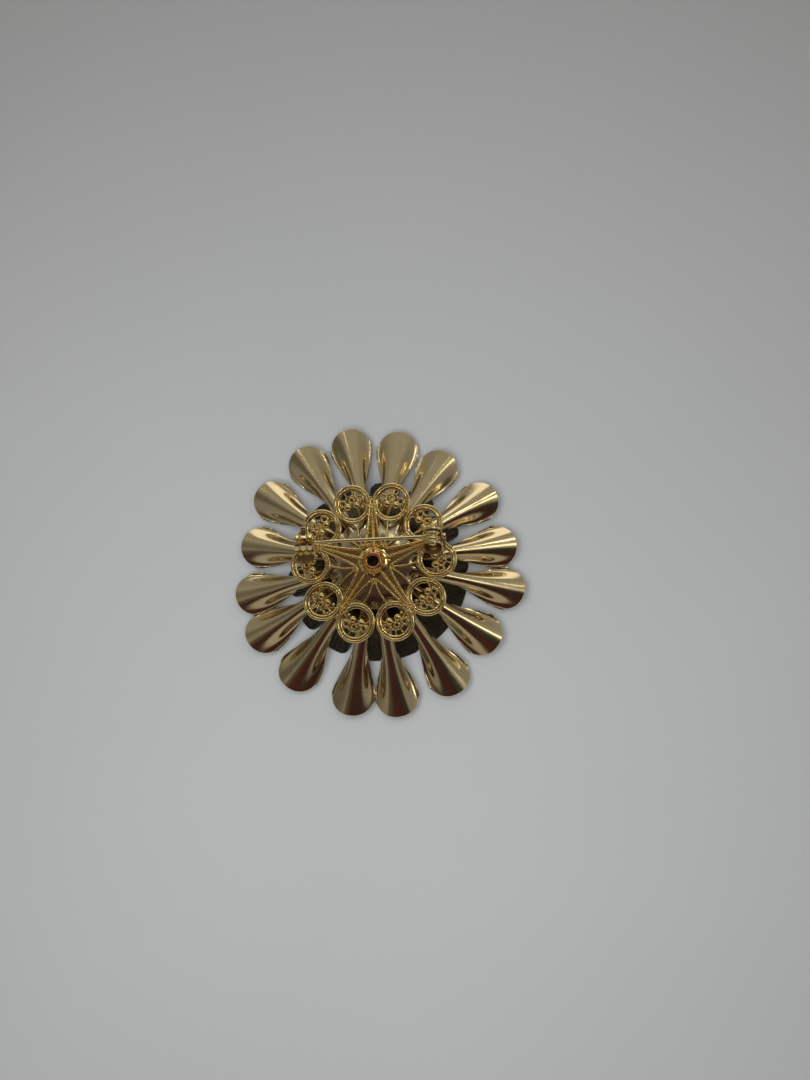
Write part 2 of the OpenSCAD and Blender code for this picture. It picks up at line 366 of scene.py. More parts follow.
def math_node(tree, operation, a, b, clamp=False):
    """One step of arithmetic on numbers or sockets."""
    node = tree.nodes.new("ShaderNodeMath")
    node.operation = operation
    node.use_clamp = clamp
    for socket, given in zip(node.inputs, (a, b)):
        feed(tree, given, socket)
    return node.outputs[0]


def map_node(tree, value, from_low, from_high, to_low, to_high):
    """A value carried from one range to another, and kept within it."""
    node = tree.nodes.new("ShaderNodeMapRange")
    node.clamp = True
    names = ("Value", "From Min", "From Max", "To Min", "To Max")
    for name, given in zip(names, (value, from_low, from_high, to_low, to_high)):
        feed(tree, given, node.inputs[name])
    return node.outputs[0]


# %% [markdown]
# Gold plate is all reflection, so what tells polished from stamped metal is how its
# roughness and its surface waver. This group holds the broad smudges of handling, fine
# polishing lines that run outwards along the petals, and the faint waviness of the sheet.

# %% Handling marks
handling, h_in, h_out = new_group(
    "handling",
    {"Roughness": 0.1, "Smudge": 0.06, "Scratch": 0.05, "Wave": 0.3, "Waves per m": 260.0},
    ("Roughness", "Height"),
)
coords = handling.nodes.new("ShaderNodeTexCoord").outputs["Object"]
smudge = noise_node(handling, coords, 160.0, 4.0)
# fine steps round the middle and coarse ones outwards stretch the noise into radial lines
around = handling.nodes.new("ShaderNodeTexGradient")
around.gradient_type = "RADIAL"
handling.links.new(coords, around.inputs["Vector"])
outwards = length_node(handling, coords)
fan = handling.nodes.new("ShaderNodeCombineXYZ")
handling.links.new(math_node(handling, "MULTIPLY", around.outputs["Fac"], 420.0), fan.inputs["X"])
handling.links.new(math_node(handling, "MULTIPLY", outwards, 90.0), fan.inputs["Y"])
lines = noise_node(handling, fan.outputs[0], 1.0, 5.0, 0.7)
wave = noise_node(handling, coords, h_in.outputs["Waves per m"], 1.0)
smudge_mask = map_node(handling, smudge, 0.45, 0.75, 0, 1)
smudge_part = math_node(handling, "MULTIPLY", smudge_mask, h_in.outputs["Smudge"])
line_mask = map_node(handling, lines, 0.55, 0.75, 0, 1)
line_part = math_node(handling, "MULTIPLY", line_mask, h_in.outputs["Scratch"])
marks_sum = math_node(handling, "ADD", smudge_part, line_part)
rough_sum = math_node(handling, "ADD", marks_sum, h_in.outputs["Roughness"])
handling.links.new(rough_sum, h_out.inputs["Roughness"])
wave_height = math_node(handling, "MULTIPLY", wave, h_in.outputs["Wave"])
line_depth = math_node(handling, "MULTIPLY", h_in.outputs["Scratch"], 0.4)
line_height = math_node(handling, "MULTIPLY", lines, line_depth)
height_sum = math_node(handling, "ADD", wave_height, line_height)
handling.links.new(height_sum, h_out.inputs["Height"])

# %% [markdown]
# Low places get a darker colour that is partly tarnish and partly painted shade, and near the
# middle, under the filigree, it is painted shade. The mask is 1 there and 0 on raised places;
# noise makes its edge uneven.

# %% Tarnish and painted shade
tarnish_and_shade, f_in, f_out = new_group(
    "tarnish_and_shade",
    {"Low mm": 10.2, "High mm": 11.0, "Patchiness": 0.4, "Shaded radius mm": -10.0},
    ("Mask",),
)
tarnish_shade_coords = tarnish_and_shade.nodes.new("ShaderNodeTexCoord").outputs["Object"]
split = tarnish_and_shade.nodes.new("ShaderNodeSeparateXYZ")
tarnish_and_shade.links.new(tarnish_shade_coords, split.inputs[0])
height_mm = math_node(tarnish_and_shade, "MULTIPLY", split.outputs["Z"], 1000.0)
depth = map_node(tarnish_and_shade, height_mm, f_in.outputs["Low mm"], f_in.outputs["High mm"], 1.0, 0.0)
uneven = math_node(tarnish_and_shade, "SUBTRACT", noise_node(tarnish_and_shade, tarnish_shade_coords, 700.0, 4.0), 0.5)
patches = math_node(tarnish_and_shade, "MULTIPLY", uneven, f_in.outputs["Patchiness"])
flat_place = tarnish_and_shade.nodes.new("ShaderNodeCombineXYZ")
tarnish_and_shade.links.new(split.outputs["X"], flat_place.inputs["X"])
tarnish_and_shade.links.new(split.outputs["Y"], flat_place.inputs["Y"])
radius_mm = math_node(tarnish_and_shade, "MULTIPLY", length_node(tarnish_and_shade, flat_place.outputs[0]), 1000.0)
past_centre_shade = math_node(tarnish_and_shade, "SUBTRACT", radius_mm, f_in.outputs["Shaded radius mm"])
# painted shade near the middle, under the filigree
centre_shade = map_node(tarnish_and_shade, past_centre_shade, 0.0, 4.0, 1.0, 0.0)
covered = math_node(tarnish_and_shade, "MAXIMUM", depth, centre_shade)
mask_sum = math_node(tarnish_and_shade, "ADD", covered, patches, clamp=True)
tarnish_and_shade.links.new(mask_sum, f_out.inputs["Mask"])
print("shader groups:", [group.name for group in bpy.data.node_groups])

# %% [markdown]
# Each metal is a Principled shader with its own colour, a darker colour painted in its low
# places as tarnish and shade, and its own share of polishing marks. One function builds them
# all from the two groups, and six lists of values tell the petals from the filigree and the pin.


# %% Plated metals
def new_material(name):
    """A material, its node tree and its Principled shader."""
    material = bpy.data.materials.new(name)
    material.use_nodes = True
    return material, material.node_tree, material.node_tree.nodes["Principled BSDF"]


def add_relief(tree, shader, height, strength, distance):
    """Feeds a height socket through a Bump node into the shader's normal."""
    relief = tree.nodes.new("ShaderNodeBump")
    relief.inputs["Strength"].default_value = strength
    relief.inputs["Distance"].default_value = distance
    tree.links.new(height, relief.inputs["Height"])
    tree.links.new(relief.outputs["Normal"], shader.inputs["Normal"])


def plated(name, colour, tarnish_shade_colour, marks_by, tarnish_shade_by, bump):
    """Plated metal with its own colours, handling marks, tarnish with painted shade, and depth of relief.
    """
    material, tree, shader = new_material(name)
    shader.inputs["Metallic"].default_value = 1.0
    shader.inputs["Specular IOR Level"].default_value = 0.5
    marks = tree.nodes.new("ShaderNodeGroup")
    marks.node_tree = handling
    for socket, value in zip(("Roughness", "Smudge", "Scratch", "Wave", "Waves per m"), marks_by):
        marks.inputs[socket].default_value = value
    tarnish_shade = tree.nodes.new("ShaderNodeGroup")
    tarnish_shade.node_tree = tarnish_and_shade
    for socket, value in zip(("Low mm", "High mm", "Patchiness", "Shaded radius mm"), tarnish_shade_by):
        tarnish_shade.inputs[socket].default_value = value
    # the darker colour is tarnish and painted shade in low places and near the middle
    tree.links.new(mix_node(tree, tarnish_shade.outputs["Mask"], colour, tarnish_shade_colour), shader.inputs["Base Color"])
    tree.links.new(marks.outputs["Roughness"], shader.inputs["Roughness"])
    add_relief(tree, shader, marks.outputs["Height"], bump, 0.2 * MM)
    return material


# after the plate's colour and its darker colour of tarnish and painted shade: roughness,
# smudges, scratches, waves and their number per metre; then the heights between which the
# tarnish and painted shade fade, their patchiness and the radius within which shade is painted
champagne_plate = plated(
    "champagne_plate", (0.88, 0.72, 0.44), (0.34, 0.23, 0.11),
    (0.13, 0.08, 0.22, 0.5, 260.0), (-5.0, 3.0, 0.3, 11.5), 0.12
)
# the hub is the petals' own plate, painted darker as the shade under the filigree
shaded_hub_plate = plated(
    "shaded_hub_plate", (0.62, 0.52, 0.34), (0.34, 0.23, 0.11),
    (0.1, 0.08, 0.1, 0.6, 200.0), (-5.0, 3.0, 0.3, -10.0), 0.14
)
# the layers in front of the outer petals, and the cup, are painted dark brown as their shade, darker still
# towards the table
shaded_ribbed_plate = plated(
    "shaded_ribbed_plate", (0.24, 0.2, 0.12), (0.06, 0.05, 0.04),
    (0.2, 0.08, 0.1, 0.4, 400.0), (2.0, 9.0, 0.5, 11.0), 0.15
)
filigree_plate = plated(
    "filigree_plate", (1.0, 0.79, 0.36), (0.3, 0.18, 0.05),
    (0.075, 0.06, 0.08, 0.8, 1300.0), (10.2, 10.7, 0.5, -10.0), 0.36
)
pin_plate = plated(
    "pin_plate", (0.96, 0.8, 0.46), (0.6, 0.42, 0.18),
    (0.12, 0.06, 0.14, 0.5, 700.0), (10.9, 12.6, 0.4, -10.0), 0.25
)
copper_plate = plated(
    "copper_plate", (0.84, 0.42, 0.2), (0.3, 0.13, 0.05),
    (0.2, 0.1, 0.14, 0.5, 700.0), (11.0, 12.1, 0.5, -10.0), 0.3
)


# %% [markdown]
# The pearl is lacquer over glass: a soft body colour that drifts slowly between warm and
# cool, and a clear coat. Its flat back, where the rivet's hole ends, is painted near black
# as the shade at the bottom of that hole.

# %% Pearl lacquer
HOLE_SHADE_FROM = 6.4 * MM
HOLE_SHADE_FULL = 6.6 * MM


def pearl_lacquer():
    """Soft pearl lacquer under a clear coat, with painted shade on the flat back."""
    material, tree, shader = new_material("pearl_lacquer")
    shader.inputs["Coat Weight"].default_value = 0.6
    shader.inputs["Coat Roughness"].default_value = 0.08
    shader.inputs["Sheen Weight"].default_value = 0.2
    place = tree.nodes.new("ShaderNodeTexCoord").outputs["Object"]
    drift = noise_node(tree, place, 220.0, 3.0)
    grain = noise_node(tree, place, 5200.0, 2.0)
    drifting = map_node(tree, drift, 0.35, 0.65, 0, 1)
    lacquer = mix_node(tree, drifting, (0.86, 0.81, 0.72), (0.83, 0.82, 0.83))
    split = tree.nodes.new("ShaderNodeSeparateXYZ")
    tree.links.new(place, split.inputs[0])
    # the flat back is painted near black as the shade in the rivet's hole
    hole_shade = map_node(tree, split.outputs["Z"], HOLE_SHADE_FROM, HOLE_SHADE_FULL, 0, 1)
    tree.links.new(mix_node(tree, hole_shade, lacquer, (0.03, 0.022, 0.015)), shader.inputs["Base Color"])
    tree.links.new(map_node(tree, grain, 0.3, 0.7, 0.2, 0.32), shader.inputs["Roughness"])
    add_relief(tree, shader, grain, 0.08, 0.1 * MM)
    return material


pearl_coat = pearl_lacquer()
print("materials:", [material.name for material in bpy.data.materials])

# %% [markdown]
# The sixteen outer petals are one stamping: a disc slit into strips, each strip rolled
# over a tapered former until it is a narrow trough at the neck and a shallow trumpet at
# the tip. A petal is therefore one sheet whose cross-section opens out along its length,
# so it is written as a formula and given its thickness afterwards.

# %% A petal's cross-section
SHEET = 0.36
PETAL_ROOT = 9.0
ROOT_HALF, NECK_HALF, HEAD_HALF = 1.25, 1.5, 4.55
FLARE_FROM, FLARE_TO = 16.2, 27.8
PETAL_REACH = 31.8
TUBE_TURN, FLANK_TILT, ARCH_TILT = 96, 64, 38
OPEN_OVER = 6.0
FLAT_FROM, FLAT_OVER = 21.0, 8.0
RIPPLE = 1.6


def smooth(t):
    """A step from 0 to 1 with soft ends."""
    t = np.clip(t, 0, 1)
    return t * t * (3 - 2 * t)


def petal_section(x, v, phase):
    """How far across and how far down each point of the strip is, for rows at x.

    The slope across the strip is a tube's at the neck, a steep flank with a turned-out lip
    where it flares, and a shallow arch at the tip, with faint lengthwise ripples left by
    the rolling. Adding up its steps gives the section.
    """
    w = np.abs(v)[None, :]
    opened = smooth((x - FLARE_FROM) / OPEN_OVER)[:, None]
    flattened = smooth((x - FLAT_FROM) / FLAT_OVER)[:, None]
    tube = np.radians(TUBE_TURN) * w
    flank = np.radians(FLANK_TILT) * np.sin(0.95 * math.pi * w**1.5)
    arch = np.radians(ARCH_TILT) * w
    slope = (1 - opened) * tube + opened * ((1 - flattened) * flank + flattened * arch)
    ripple = (np.sin(7 * v + phase) + 0.7 * np.sin(13 * v + 2.3 * phase)) * (1 - v**4)
    slope = slope * np.sign(v)[None, :] + opened * np.radians(RIPPLE) * ripple[None, :]
    step = np.diff(v)[None, :]
    middle = (slope[:, 1:] + slope[:, :-1]) / 2
    across = np.concatenate([np.zeros((len(x), 1)), np.cumsum(np.cos(middle) * step, 1)], 1)
    down = np.concatenate([np.zeros((len(x), 1)), np.cumsum(np.sin(middle) * step, 1)], 1)
    centre = len(v) // 2
    across -= across[:, centre : centre + 1]
    down -= down[:, centre : centre + 1]
    size = across[:, -1:]
    return across / size, down / size


# %% [markdown]
# The strip runs down from the hub along a slightly hollow line and ends in a round lip.
# Its width follows from where along the petal each row lies, and its tip is a flattened
# oval, into which the rows bend more and more towards the end.

# %% A petal's surface
HUB_TOP = node_box("outer_petals")[1].z
ROOT_DROP = 0.6
TIP_DROP = 6.55
CREST_HOLLOW = 0.35
TIP_ROUND = 2.15


def petal_surface(rows, columns, reach, sag, phase):
    """Grid of points on a petal's back face, from root to tip and from side to side."""
    u = np.linspace(0, 1, rows)
    v = np.sin(np.linspace(-math.pi / 2, math.pi / 2, columns))
    middle_x = PETAL_ROOT + (reach - PETAL_ROOT) * u
    bend = u**3
    edge_x = middle_x - HEAD_HALF * bend
    shift = reach - PETAL_REACH
    half = ROOT_HALF + (NECK_HALF - ROOT_HALF) * smooth((edge_x - PETAL_ROOT) / 4)
    flare = smooth((edge_x - FLARE_FROM - shift) / (FLARE_TO - FLARE_FROM))
    half = half + (HEAD_HALF - NECK_HALF) * flare
    across, down = petal_section(edge_x - shift, v, phase)
    # the tip is a rounded line, and rows further back bend towards it less and less
    lip = np.clip(1 - np.abs(across) ** TIP_ROUND, 0, 1) ** (1 / TIP_ROUND)
    tip_back = HEAD_HALF * (1 - lip)
    x = middle_x[:, None] - tip_back * bend[:, None]
    along = (x - PETAL_ROOT) / (reach - PETAL_ROOT)
    crest = HUB_TOP - ROOT_DROP - (TIP_DROP - ROOT_DROP) * along
    crest -= CREST_HOLLOW * np.sin(math.pi * along) + sag * along**2
    return np.stack([x, across * half[:, None], crest - down * half[:, None]], -1)


def sheet_from(surface, thickness):
    """Closes a grid of points, rows x columns x 3, into a thin sheet with rounded rims."""
    rows, columns = surface.shape[:2]
    normal = np.cross(np.gradient(surface, axis=0), np.gradient(surface, axis=1))
    normal /= np.linalg.norm(normal, axis=2)[:, :, None] + 1e-12
    under = surface - normal * thickness
    count = rows * columns
    grid = np.arange(count).reshape(rows, columns)
    quads = np.stack([grid[:-1, :-1], grid[1:, :-1], grid[1:, 1:], grid[:-1, 1:]], -1).reshape(-1, 4)
    edge = np.r_[grid[0, :], grid[1:, -1], grid[-1, -2::-1], grid[-2:0:-1, 0]]
    rim = (surface - normal * thickness / 2).reshape(-1, 3)[edge]
    out = np.cross(normal.reshape(-1, 3)[edge], np.roll(rim, -1, 0) - np.roll(rim, 1, 0))
    out /= np.linalg.norm(out, axis=1)[:, None] + 1e-12
    rim = rim + out * thickness * 0.35
    points = np.vstack([surface.reshape(-1, 3), under.reshape(-1, 3), rim])
    faces = [tuple(q) for q in quads] + [tuple(q[::-1] + count) for q in quads]
    n = len(edge)
    for i in range(n):
        k = (i + 1) % n
        faces.append((edge[k], edge[i], 2 * count + i, 2 * count + k))
        faces.append((2 * count + k, 2 * count + i, edge[i] + count, edge[k] + count))
    return points, [tuple(int(i) for i in f) for f in faces]


# %% [markdown]
# A petal is rolled by hand, so each one twists a little, sags a little and is never quite
# even; its neighbours lean aside and reach different distances. Those differences are a
# few short lists and some seeded chance, on one shared shape.

# %% Outer petals
FIRST_PETAL = -13.5
# how each petal was bent aside, in degrees, and how much further it reaches, in millimetres
PETAL_LEAN = (2, -1, 0, 3, 2, 1, 0, 0, 0, 0, -4, -3, 1, -2, 0, 1)
PETAL_EXTRA = (0.9, -0.7, -0.6, -1.4, -0.3, 0.7, 1, 0.8, -1, 0, 0.7, 0.6, 0.8, 1, 0.9, -0.3)
PETAL_STEP = 360 / len(PETAL_LEAN)


def outer_petal(reach, roll, sag, dent, phase):
    """One petal along X, twisted by roll degrees, sagging and dented by its own amounts."""
    rows, columns = 48, 49
    surface = petal_surface(rows, columns, reach, sag, phase)
    u = np.linspace(0, 1, rows)[:, None]
    v = np.linspace(-1, 1, columns)[None, :]
    twist = np.radians(roll) * u
    crest = surface[:, columns // 2, 2][:, None]
    y, fall = surface[..., 1].copy(), surface[..., 2] - crest
    surface[..., 1] = y * np.cos(twist) - fall * np.sin(twist)
    surface[..., 2] = crest + y * np.sin(twist) + fall * np.cos(twist)
    surface[..., 2] += dent * np.sin(5.0 * u + 2.0) * np.cos(2.2 * v + dent * 9) * u
    return sheet_from(surface, SHEET)


petal_at = []
for i, (lean_by, extra) in enumerate(zip(PETAL_LEAN, PETAL_EXTRA)):
    azimuth = FIRST_PETAL + i * PETAL_STEP + lean_by
    roll, sag, dent = RNG.uniform(-5, 5), RNG.uniform(-0.25, 0.25), RNG.uniform(-0.09, 0.09)
    shape = turned(outer_petal(PETAL_REACH + extra, roll, sag, dent, RNG.uniform(0, 6)), azimuth)
    piece = make_piece(f"outer_petal_{i + 1:02d}", shape, "flower", champagne_plate)
    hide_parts("outer_petals")
    petal_at.append(azimuth)
print(len(petal_at), "outer petals, reaching", PETAL_REACH, "mm")

# %% [markdown]
# The middle of the same stamping is a polished disc. Its rim is drawn into sixteen
# shallow flutes that become the petals' necks, so its height follows the nearest petal.


# %% Hub of the outer petals
STACK_BORE = 1.55
HUB_REACH = 9.9
FLUTES_FROM = 7.5
DOME_FROM = 4.5


def fluted_disc(inner, outer, top, azimuths, depth):
    """A domed disc with a bore, whose rim dips between the petals at the azimuths."""
    rings, sides = 22, 384
    radii = np.linspace(inner, outer, rings)
    angles = np.linspace(0, 360, sides, endpoint=False)
    azimuths = np.array(azimuths)
    away = np.abs((angles[:, None] - azimuths[None, :] + 180) % 360 - 180).min(1)
    groove = smooth(away / (PETAL_STEP / 2)) ** 1.2
    amount = smooth((radii - FLUTES_FROM) / (outer - FLUTES_FROM)) ** 1.3
    dome = ROOT_DROP * (np.clip(radii - DOME_FROM, 0, None) / (outer - DOME_FROM)) ** 2
    z = top - dome[:, None] - depth * amount[:, None] * groove[None, :]
    a = np.radians(angles)
    grid = np.stack([radii[:, None] * np.cos(a), radii[:, None] * np.sin(a), z], -1)
    over = grid.reshape(-1, 3)
    points = np.vstack([over, over - (0, 0, SHEET)])
    n, faces = rings * sides, []
    for i in range(rings - 1):
        for j in range(sides):
            k = (j + 1) % sides
            f = (i * sides + j, (i + 1) * sides + j, (i + 1) * sides + k, i * sides + k)
            faces += [f, tuple(x + n for x in f[::-1])]
    for j in range(sides):
        k = (j + 1) % sides
        faces.append((j, k, k + n, j + n)[::-1])
        last = (rings - 1) * sides
        faces.append((last + j, last + k, last + k + n, last + j + n))
    return points, faces


hub_shape = fluted_disc(STACK_BORE, HUB_REACH, HUB_TOP, petal_at, 0.9)
# its darker plate is painted shade under the filigree
hub = make_piece("outer_petal_hub", hub_shape, "flower", shaded_hub_plate)
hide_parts("outer_petals")
print("hub of", len(hub_shape[1]), "faces, reaching", HUB_REACH, "mm")

# %% [markdown]
# In front of them, and seen from the back only through the gaps, lies a second stamping
# of corrugated petals with blunt ends, cupped forward. The corrugation is a cosine across
# the sheet; it fades at the root, where the strip is narrow.


# %% Ribbed petals
RIBBED_COUNT, RIBBED_FIRST, RIBS = 14, 5, 7
RIBBED_REACH = 20.1
ribbed_high = node_box("ribbed_petals")[1]


def front_petal(root_x, reach, root_z, tip_z, half, root_half, ribs, rib_height, bow, cup, rows, columns):
    """A blunt petal along X: ribs across it, its sides bowed down and its middle cupped up."""
    u, v = np.meshgrid(np.linspace(0, 1, rows), np.linspace(-1, 1, columns), indexing="ij")
    widen = smooth(u / 0.55)
    width = root_half + (half - root_half) * widen
    blunt = (1 - np.abs(v) ** 3.2) ** (1 / 3.2)
    x = root_x + (reach - root_x) * u - half * 0.75 * (1 - blunt) * u**4
    y = width * v
    z = root_z + (tip_z - root_z) * u + cup * np.sin(math.pi * u) - bow * widen * v * v
    z = z + rib_height * smooth(u / 0.25) * np.cos(math.pi * ribs * (v + 1))
    return sheet_from(np.stack([x, y, z], -1), SHEET)


ribbed_shape = front_petal(
    root_x=6.2, reach=RIBBED_REACH, root_z=ribbed_high.z - 0.15, tip_z=0.6, half=3.3, root_half=1.4,
    ribs=RIBS, rib_height=0.16, bow=0.25, cup=0.5, rows=30, columns=8 * RIBS + 1,
)
# the ribbed petals' dark plate is painted shade under the outer petals
for i in range(RIBBED_COUNT):
    azimuth = RIBBED_FIRST + i * 360 / RIBBED_COUNT + RNG.uniform(-1.5, 1.5)
    shape = turned(ribbed_shape, azimuth)
    piece = make_piece(f"ribbed_petal_{i + 1:02d}", shape, "flower", shaded_ribbed_plate)
    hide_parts("ribbed_petals")


def washer(inner, outer, low, high, edge=0.08):
    """A turned ring with softened edges."""
    bore_side = [(inner + edge, low), (inner, low + edge), (inner, high - edge), (inner + edge, high)]
    rim_side = [(outer - edge, high), (outer, high - edge), (outer, low + edge), (outer - edge, low)]
    return lathe(bore_side + rim_side, 96)


ribbed_hub_shape = washer(STACK_BORE, 7.4, ribbed_high.z - 0.4, ribbed_high.z)
ribbed_hub = make_piece("ribbed_petal_hub", ribbed_hub_shape, "flower", shaded_ribbed_plate)
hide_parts("ribbed_petals")
print(RIBBED_COUNT, "ribbed petals with", RIBS, "ribs each, reaching", RIBBED_REACH, "mm")

# %% [markdown]
# Round the centre sit ten small plain petals and a cup that holds an imitation pearl.
# They face the table here, but the brooch is worn that way out, so they are finished too.

# %% Inner petals and spacer
INNER_COUNT = 10
INNER_REACH = 12.1
inner_high = node_box("inner_petals")[1]
inner_shape = front_petal(
    root_x=5.0, reach=INNER_REACH, root_z=inner_high.z - 0.1, tip_z=2.1, half=2.55, root_half=1.2,
    ribs=1, rib_height=0.0, bow=0.75, cup=0.45, rows=26, columns=23,
)
for i in range(INNER_COUNT):
    shape = turned(inner_shape, i * 360 / INNER_COUNT)
    piece = make_piece(f"inner_petal_{i + 1:02d}", shape, "flower", shaded_ribbed_plate)
    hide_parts("inner_petals")
inner_hub_shape = washer(STACK_BORE, 5.7, inner_high.z - 0.4, inner_high.z)
inner_hub = make_piece("inner_petal_hub", inner_hub_shape, "flower", shaded_ribbed_plate)
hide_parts("inner_petals")

spacer_low, spacer_high = node_box("spacer_washer")
spacer_shape = washer(STACK_BORE, spacer_high.x, spacer_low.z, spacer_high.z, 0.15)
spacer = make_piece("spacer", spacer_shape, "flower", shaded_ribbed_plate)
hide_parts("spacer_washer")
print(INNER_COUNT, "inner petals, reaching", INNER_REACH, "mm, and the spacer behind them")

# %% [markdown]
# The cup is drawn from sheet, with a rounded shoulder and a thin rim round the pearl. The
# pearl has a flat back that is glued in. Turning a ball leaves a tiny hole at each of its
# poles, so fans of triangles close the two ends.

# %% Cup and pearl
CUP_WALL = 0.4
cup_low, cup_high = node_box("centre_cup")
cup_out = cup_high.x
cup_in = cup_out - CUP_WALL
cup_profile = [
    (STACK_BORE, cup_high.z),
    (cup_out - 0.5, cup_high.z),
    (cup_out - 0.12, cup_high.z - 0.25),
    (cup_out, cup_high.z - 0.7),
    (cup_out, cup_low.z + 0.15),
    (cup_out - 0.12, cup_low.z),
    (cup_in + 0.1, cup_low.z),
    (cup_in, cup_low.z + 0.15),
    (cup_in, cup_high.z - CUP_WALL),
    (STACK_BORE, cup_high.z - CUP_WALL),
]
cup = make_piece("pearl_cup", lathe(cup_profile, 96), "flower", shaded_ribbed_plate)
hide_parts("centre_cup")

pearl_low, pearl_high = node_box("centre_pearl")


def pearl_shape(sides=96, rows=40, hair=1e-3):
    """A ball with a flat back; hair is the tiny hole at each end that a fan closes."""
    radius = pearl_high.x
    middle = pearl_low.z + radius
    flat_angle = math.asin((pearl_high.z - middle) / radius)
    angles = np.linspace(flat_angle, -math.pi / 2 + hair, rows)
    profile = [(hair, pearl_high.z)]
    profile += [(radius * math.cos(a), middle + radius * math.sin(a)) for a in angles]
    points, faces = lathe(profile, sides)
    n = len(profile)
    faces = [f for f in faces if {f[0] % n, f[3] % n} != {0, n - 1}]
    points = np.vstack([points, (0, 0, pearl_high.z), (0, 0, pearl_low.z)])
    for i in range(sides):
        k = (i + 1) % sides
        faces.append((k * n, len(points) - 2, i * n))
        faces.append((len(points) - 1, k * n + n - 1, i * n + n - 1))
    return points, faces


pearl = make_piece("pearl", pearl_shape(), "flower", pearl_coat)
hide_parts("centre_pearl")
print("pearl", round(2 * pearl_high.x, 2), "mm across, in a cup", round(2 * cup_out, 2), "mm across")

# %% [markdown]
# The back plate is a filigree stamping: ten scalloped loops round a five-pointed star.
# Real filigree is a flat pierced web with round wires, twisted beads and solid granules
# fused on top. It is built the same way, a layer at a time, in one loop's own space, with
# x pointing outwards, and then turned to its place.

# %% Filigree loops
PLATE_Z = node_box("filigree_plate")[0].z
WEB_TOP = PLATE_Z + 0.45
LOOP_COUNT = 10
LOOP_AT = 13.55
LOOP_OUT, LOOP_SIDE = 4.4, 4.15
WINDOW_AT = (-1.75, 0)
# x, y and radius of the small rings on a loop
SMALL_RINGS = ((0.75, 1.95, 0.66), (0.75, -1.95, 0.66), (0.95, 0.1, 0.55))
# x, y, height above the web and radius of its large and small granules
LARGE_GRANULES = (
    (-0.5, 0.75, 0.25, 0.82), (-0.3, -1.15, 0.25, 0.88), (0.3, 1.3, 0.2, 0.42), (-1.2, 1.9, 0.1, 0.4),
)
SMALL_GRANULES = (
    (1.5, 1.1, 0.02, 0.3), (1.5, -1.0, 0.02, 0.3), (1.65, 0.1, 0.0, 0.24),
    (0.1, 2.5, 0, 0.3), (0.1, -2.5, 0, 0.3), (0.2, -0.3, 0.1, 0.26),
)


def rim_window(count=44):
    """Outline of the wide window on a loop's inner side."""
    return oval(WINDOW_AT, 1.8, 2.6, count)


def fan_window(start, end, inner, outer, count=7):
    """Outline of one curved window between two radii, angles in degrees."""
    a = np.radians(np.linspace(start, end, count))
    return np.vstack([
        np.c_[outer * np.cos(a), outer * np.sin(a)],
        np.c_[inner * np.cos(a[::-1]), inner * np.sin(a[::-1])],
    ])


def granules(rows, flat, fine=False):
    """Beads from rows of x, y, height above the web and radius."""
    rows = np.array(rows)
    return beads(rows[:, :3] + (0, 0, WEB_TOP), rows[:, 3], flat, fine)


def filigree_loop():
    """One loop with its middle at the origin: pierced web, rim, beads, granules and rings."""
    web = flat_work(
        [
            oval((0, 0), LOOP_OUT - 0.3, LOOP_SIDE - 0.3, 64),
            rim_window(),
            fan_window(20, 46, 2.0, 3.05),
            fan_window(-13, 13, 1.9, 3.05),
            fan_window(-46, -20, 2.0, 3.05),
            oval((0.75, 1.95), 0.4, 0.4, 14),
            oval((0.75, -1.95), 0.4, 0.4, 14),
            oval((0.95, 0.1), 0.34, 0.34, 14),
        ],
        PLATE_Z + 0.1,
        WEB_TOP - 0.1,
        0.07,
    )
    rim_path = arc((0, 0), 1, 0, 354, 60, PLATE_Z + 0.56, (LOOP_OUT - 0.34, LOOP_SIDE - 0.34))
    rim = wire(rim_path, 0.34, 14, True)
    # the smooth dished band inside the rim
    band = wire(arc((0, 0), 1, 0, 354, 60, PLATE_Z + 0.44, (3.5, 3.3)), 0.46, 14, True, 0.5)
    # a twisted wire lies round the window: small beads touching each other
    window = np.c_[rim_window(72), np.full(72, WEB_TOP)]
    centre = np.array([*WINDOW_AT, 0])
    twist = beads(spaced((window - centre) * (1.1, 1.08, 1) + centre + (0, 0, 0.06), 0.36, True), 0.19)
    large = granules(LARGE_GRANULES, 0.85, True)
    small = granules(SMALL_GRANULES, 0.8)
    rings = [wire(arc((x, y), r, 0, 342, 20, WEB_TOP + 0.08), 0.22, 8, True) for x, y, r in SMALL_RINGS]
    fan_ribs = []
    for side in (-1, 1):
        rib_path = [(1.8, side * 0.5, WEB_TOP - 0.05), (3.2, side * 0.95, WEB_TOP - 0.1)]
        fan_ribs.append(wire(rib_path, 0.14, 8))
    fan_ribs.append(wire(arc((0, 0), 1.95, -50, 50, 20, WEB_TOP), 0.15, 8))
    edge_angles = np.radians([58, 70, 82, -58, -70, -82])
    edge_places = [(2.7 * math.cos(a), 2.6 * math.sin(a), WEB_TOP) for a in edge_angles]
    edge_beads = beads(edge_places, [0.24, 0.28, 0.24] * 2)
    return join([web, rim, band, twist, large, small, edge_beads, *rings, *fan_ribs])


one_loop = moved(filigree_loop(), (LOOP_AT, 0, 0))
# neighbouring loops are mirror images of each other
other_loop = (one_loop[0] * (1, -1, 1), one_loop[1])
for i in range(LOOP_COUNT):
    shape = turned(other_loop if i % 2 else one_loop, i * 360 / LOOP_COUNT)
    piece = make_piece(f"filigree_loop_{i + 1:02d}", shape, "flower", filigree_plate, 55)
    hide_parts("filigree_plate")
print(LOOP_COUNT, "filigree loops of", len(one_loop[1]), "faces each")

# %% [markdown]
# The star carries the load from the rivet out to the loops. Each arm is a tapering strip
# with a twisted wire along its raised middle, a plain rail on each side and a heap of
# granules on its tip; between two arms a pair of thin ribs runs out to the loops.

